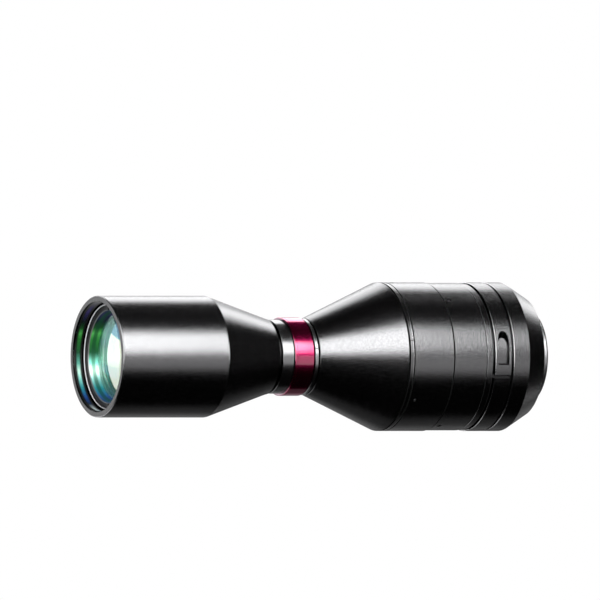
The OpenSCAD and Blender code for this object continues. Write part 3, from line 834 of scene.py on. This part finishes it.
def thread_turns(name, wall_r, depth, start, length):
    turns = int(length / PITCH)
    thread = thread_section(name, wall_r, depth, start)
    sweep_turns(thread, turns)
    places = [vertex.co.x / MM for vertex in thread.data.vertices]
    print(name, "has", turns, "turns and", len(thread.data.polygons), "faces")
    print("  from", round(min(places), 2), "to", round(max(places), 2), "mm")
    return thread


# %% [markdown]
# ## The filter thread
#
# Its middle turns carry the same painted reflection as the mouth, and the turns at either end
# are painted nearly black as painted shadow. It belongs to the body of the lens, so it rides
# on that body.

# %% Make the filter thread
filter_thread = thread_turns("filter_thread", filter_thread_r, -0.42 * MM,
                             rim_x + 1.2 * MM, 7.2 * MM)
thread_reflection_finish = turned("filter_thread_satin", grey(0.2), grey(0.3), 0.33, metallic=0.6)
# The thread's colour is the painted reflection of the mouth.
thread_reflection_finish.colour = painted_mouth_reflection(thread_reflection_finish)
lit_turns = thread_reflection_finish.along("X").band(rim_x + 3.2 * MM, rim_x + 6.2 * MM, 0.8 * MM)
# The turns outside the lit middle are painted nearly black, as painted shadow.
thread_reflection_finish.paint(1 - lit_turns, grey(0.015))
filter_thread.data.materials.append(thread_reflection_finish.done())
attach(filter_thread, "lens_body")

# %% [markdown]
# ## The camera thread
#
# This thread is cut through the black skin into bright aluminium, so it shows as a
# pale line round the boss. It turns with the camera adapter, so it rides on that.

# %% Make the camera thread
camera_thread = thread_turns("camera_thread", camera_thread_r, 0.2 * MM, 1.0 * MM, 6.8 * MM)
bright_thread = turned("camera_thread_bright", grey(0.82), grey(0.92), 0.3)
camera_thread.data.materials.append(bright_thread.done())
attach(camera_thread, "adapter")

# %% [markdown]
# ## The studio's lights
#
# Black metal shows nothing but what is around it. A large softbox in front and above
# gives the broad white band along the barrels. A weaker one at the camera end and a
# low one fill the lower half, and a fourth looks into the mouth. A lamp's power
# spreads over its area, so each lamp is given the brightness that a reflection of it
# should have, and its power follows from that.

# %% Softboxes
lens_centre = Vector((middle_x, 0, 0))


def softbox(name, direction, distance, width, height, radiance):
    place = lens_centre + Vector(direction).normalized() * distance
    lamp = bpy.data.lights.new(name, "AREA")
    lamp.shape = "RECTANGLE"
    lamp.size = width
    lamp.size_y = height
    lamp.energy = radiance * math.pi * width * height
    lamp_object = bpy.data.objects.new(name, lamp)
    bpy.context.scene.collection.objects.link(lamp_object)
    lamp_object.location = place
    lamp_object.rotation_euler = (lens_centre - place).to_track_quat("-Z", "Y").to_euler()
    lamp_object.visible_camera = False
    print(name, "stands at", [round(c, 2) for c in place], "with", round(lamp.energy, 1), "W")


softbox("front_softbox", direction=(-0.07, -0.89, 0.45), distance=1.15,
        width=1.26, height=0.85, radiance=8.6)
softbox("side_softbox", direction=(0.48, -0.80, 0.40), distance=1.25,
        width=0.45, height=0.62, radiance=0.9)
softbox("low_fill", direction=(0.38, -0.90, -0.163), distance=1.3,
        width=1.0, height=0.57, radiance=0.92)
softbox("mouth_light", direction=(-0.72, -0.68, 0.12), distance=1.7,
        width=0.5, height=0.7, radiance=9.0)

# %% [markdown]
# ## Cloth for the tent and the cards
#
# Between the bright bands the metal must stay black, so dark cloth hangs round the
# lens, and some strips of it glow. Only reflections can see it: it casts no shadow,
# takes no light from the floor, and the camera looks straight through it. A real
# photographer has to leave a hole for the camera, and ray visibility saves that.


# %% Cloth that only reflections see
def cloth(name, shade, glow=0.0, light=rgb(1, 1, 1)):
    finish = Finish(name, Specular_IOR_Level=0.0, Emission_Strength=glow, Emission_Color=light)
    weave = finish.noise(3)
    finish.colour = finish.mixed(weave, grey(shade * 0.97), grey(shade))
    finish.roughness = 0.85 + 0.1 * weave
    return finish.done()


def only_in_reflections(thing):
    thing.visible_camera = False
    thing.visible_diffuse = False
    thing.visible_transmission = False
    thing.visible_volume_scatter = False
    thing.visible_shadow = False


tent_black = cloth("tent_black_cloth", 0.004)
print("made", tent_black.name)

# %% [markdown]
# ## A panel of the tent
#
# The tent is a wide tube round the lens. Each panel is a strip of that tube between
# two places along the axis and two angles round it, so a glowing strip gives the
# barrels a straight bright line and the cone a slanting one. A panel starts as a
# cylinder without ends, and the faces outside its two angles are deleted.

# %% Cut a panel out of a tube
TENT_FACES = 72


def keep_between(panel, first_angle, last_angle):
    """Deletes the faces of a tube round the X axis that lie outside two angles."""
    bpy.ops.object.mode_set(mode="EDIT")
    bpy.ops.mesh.select_mode(type="FACE")
    bpy.ops.mesh.select_all(action="DESELECT")
    bpy.ops.object.mode_set(mode="OBJECT")
    for face in panel.data.polygons:
        angle = math.degrees(math.atan2(face.center.z, -face.center.y))
        face.select = not first_angle <= angle <= last_angle
    bpy.ops.object.mode_set(mode="EDIT")
    bpy.ops.mesh.delete(type="FACE")
    bpy.ops.object.mode_set(mode="OBJECT")


def tent_panel(name, radius, start_x, end_x, first_angle, last_angle, material):
    clear_selection()
    bpy.ops.mesh.primitive_cylinder_add(
        vertices=TENT_FACES, radius=radius, depth=end_x - start_x, end_fill_type="NOTHING",
        location=((start_x + end_x) / 2, 0, 0), rotation=(0, math.pi / 2, 0))
    panel = bpy.context.object
    panel.name = name
    bpy.ops.object.transform_apply(location=True, rotation=True, scale=True)
    keep_between(panel, first_angle, last_angle)
    panel.data.materials.append(material)
    only_in_reflections(panel)
    print(name, "has", len(panel.data.polygons), "faces")


# %% [markdown]
# ## The tent
#
# The front panel is black and covers most of the circle. The strips behind the lens
# and above it glow, and they draw the bright line along the top of the barrels. The
# panels near the floor glow only faintly, as a studio's far wall does, and give the
# underside its dark grey. The end strip and the two shades hang a little inside the
# tube, before the panels, at places that the slopes of the lens mirror.

# %% Hang the tent
TENT_R, STRIP_R, SHADE_R = 1.7, 1.65, 1.64
TENT_END_X = 2.6

tent_panel("tent_front", TENT_R, -3.0, TENT_END_X, -112, 126, tent_black)
tent_panel("top_strip", TENT_R, -0.7, TENT_END_X, 126, 153,
           cloth("top_strip_light", 0.8, glow=2.8))
tent_panel("end_strip", STRIP_R, 0.95, 2.1, 107, 131,
           cloth("end_strip_light", 0.8, glow=4.6))
tent_panel("cone_shade", SHADE_R, 0.80, 1.18, 138, 162,
           cloth("cone_shade_grey", 0.5, glow=0.7))
tent_panel("cone_shade_low", SHADE_R, 0.70, 1.05, -180, -148,
           cloth("cone_shade_dark", 0.1, glow=0.08))
tent_panel("horizon_panel", TENT_R, -0.2, TENT_END_X, 153, 180,
           cloth("horizon_grey", 0.5, glow=0.33))
tent_panel("low_panel", TENT_R, -0.5, TENT_END_X, -180, -138,
           cloth("low_grey", 0.1, glow=0.22))
tent_panel("under_panel", TENT_R, -0.5, TENT_END_X, -138, -112,
           cloth("under_grey", 0.05, glow=0.08))

# %% [markdown]
# ## Cards
#
# Flat cards finish the studio. One closes the tent at the camera end. Three stand
# behind and to the left, where the front glass looks: a black one above, a narrow
# blue one under it and a bright one below. Coated glass needs such an edge between
# dark and light, because each of its curved faces mirrors the edge at another height
# and in another colour. The last two stand in front of the lens and draw the edges of
# its rim and of its steps.

# %% Cards that only reflections see
FAR_LEFT, BEHIND = (-2.6, 1.0), (-0.2, 1.5)


def card(name, corners, material, through_glass=False):
    clear_selection()
    bpy.ops.mesh.primitive_plane_add(size=2, location=(0, 0, 0))
    made = bpy.context.object
    made.name = name
    for vertex, corner in zip(made.data.vertices, corners):
        vertex.co = corner
    made.data.materials.append(material)
    only_in_reflections(made)
    made.visible_transmission = through_glass
    print(name, "has its first corner at", corners[0])


def upright(start, end, low, high):
    """The corners of an upright card that stands on the line between two places."""
    return [(*start, low), (*end, low), (*start, high), (*end, high)]


card("tent_end", upright((TENT_END_X, -1.75), (TENT_END_X, 0.9), -1.75, 1.75), tent_black)
card("glass_card_dark", upright(FAR_LEFT, BEHIND, 0.5, 1.3), tent_black, through_glass=True)
card("glass_card_blue", upright(FAR_LEFT, BEHIND, 0.22, 0.5),
     cloth("blue_card", 0.3, 0.9, rgb(0.08, 0.40, 1.0)), through_glass=True)
card("glass_card_bright", upright(FAR_LEFT, BEHIND, -1.1, 0.22),
     cloth("bright_card", 0.8, glow=1.7), through_glass=True)
card("edge_card", upright((-2.35, -1.15), (-2.0, -0.1), -0.3, 1.4),
     cloth("edge_card_light", 0.8, glow=3.0))
card("edge_card_low", upright((-2.6, -1.7), (-2.6, 1.0), -1.9, -0.3), tent_black)

# %% [markdown]
# ## The floor
#
# The lens lies on pale paper that keeps its shadow. Far from the lens the paper has
# to fade into the white background, so it glows a little for the camera alone, and
# more with the distance. It stays out of the metal's reflections, where it would grey
# the black.

# %% The floor
FLOOR_SIZE = 8
GLOW_NEAR, GLOW_GAIN = 0.3, 0.7
FADE_START, FADE_END = 0.5, 2.2


def paper_white():
    paper = Finish("floor_pale", Specular_IOR_Level=0.0, Emission_Strength=1.0)
    fibres = paper.noise(3)
    paper.colour = paper.mixed(fibres, grey(0.84), grey(0.86))
    paper.roughness = 0.85 + 0.1 * fibres
    x, y = paper.along("X") - lens_centre.x, paper.along("Y")
    fade = (x * x + y * y).root().ramp(FADE_START, FADE_END)
    seen = paper.node("ShaderNodeLightPath", {}, {}, "Is Camera Ray")
    glow = paper.mixed(seen * (GLOW_NEAR + GLOW_GAIN * fade), grey(0.0), grey(1.0))
    paper.feed(paper.shader.inputs["Emission Color"], glow)
    return paper.done()


def pale_floor():
    clear_selection()
    below_lens = cad_box[0][2] - 0.5 * MM
    bpy.ops.mesh.primitive_plane_add(size=FLOOR_SIZE, location=(lens_centre.x, 0, below_lens))
    floor = bpy.context.object
    floor.name = "floor"
    bpy.ops.object.transform_apply(location=True, rotation=True, scale=True)
    floor.data.materials.append(paper_white())
    floor.visible_glossy = False
    floor.visible_transmission = False
    print("floor at z =", round(floor.data.vertices[0].co.z, 4))


pale_floor()

# %% [markdown]
# ## The white background
#
# A white background is a matter of colour, not of more light. The world is white for
# the camera, for reflections and for light that passes through glass. Everything
# else sees a dimmer world, so that it doesn't wash out the metal.

# %% The world
DIM_WORLD = 0.35


def white_world():
    world = bpy.data.worlds.new("studio_white")
    bpy.context.scene.world = world
    world.use_nodes = True
    graph = Graph(world.node_tree)
    camera_ray, glossy_ray, glass_ray = (
        graph.node("ShaderNodeLightPath", {}, {}, ray)
        for ray in ("Is Camera Ray", "Is Glossy Ray", "Is Transmission Ray"))
    seen = (camera_ray + glossy_ray + glass_ray).smaller(1.0)
    background = world.node_tree.nodes["Background"]
    graph.feed(background.inputs["Color"], rgb(1, 1, 1))
    graph.feed(background.inputs["Strength"], DIM_WORLD + (1 - DIM_WORLD) * seen)
    print("world:", world.name)


white_world()

# %% [markdown]
# ## The camera
#
# The photograph was taken from far away with a long lens, so its lines stay parallel
# and an orthographic camera fits. It looks level, turned 26 degrees towards the
# front of the lens.

# %% Place the camera
VIEW_TURN = math.radians(26.1)
VIEW_CENTRE = Vector((-0.1894, 0, 0.0442))
VIEW_WIDTH = 0.468
CAMERA_DISTANCE = 2.5

towards_camera = Vector((-math.sin(VIEW_TURN), -math.cos(VIEW_TURN), 0))
camera_data = bpy.data.cameras.new("studio_camera")
camera_data.type = "ORTHO"
camera_data.ortho_scale = VIEW_WIDTH
camera = bpy.data.objects.new("studio_camera", camera_data)
bpy.context.scene.collection.objects.link(camera)
camera.location = VIEW_CENTRE + towards_camera * CAMERA_DISTANCE
camera.rotation_euler = (math.pi / 2, 0, -VIEW_TURN)
bpy.context.scene.camera = camera
bpy.context.scene.view_settings.view_transform = "Standard"
print("camera at", [round(c, 3) for c in camera.location])
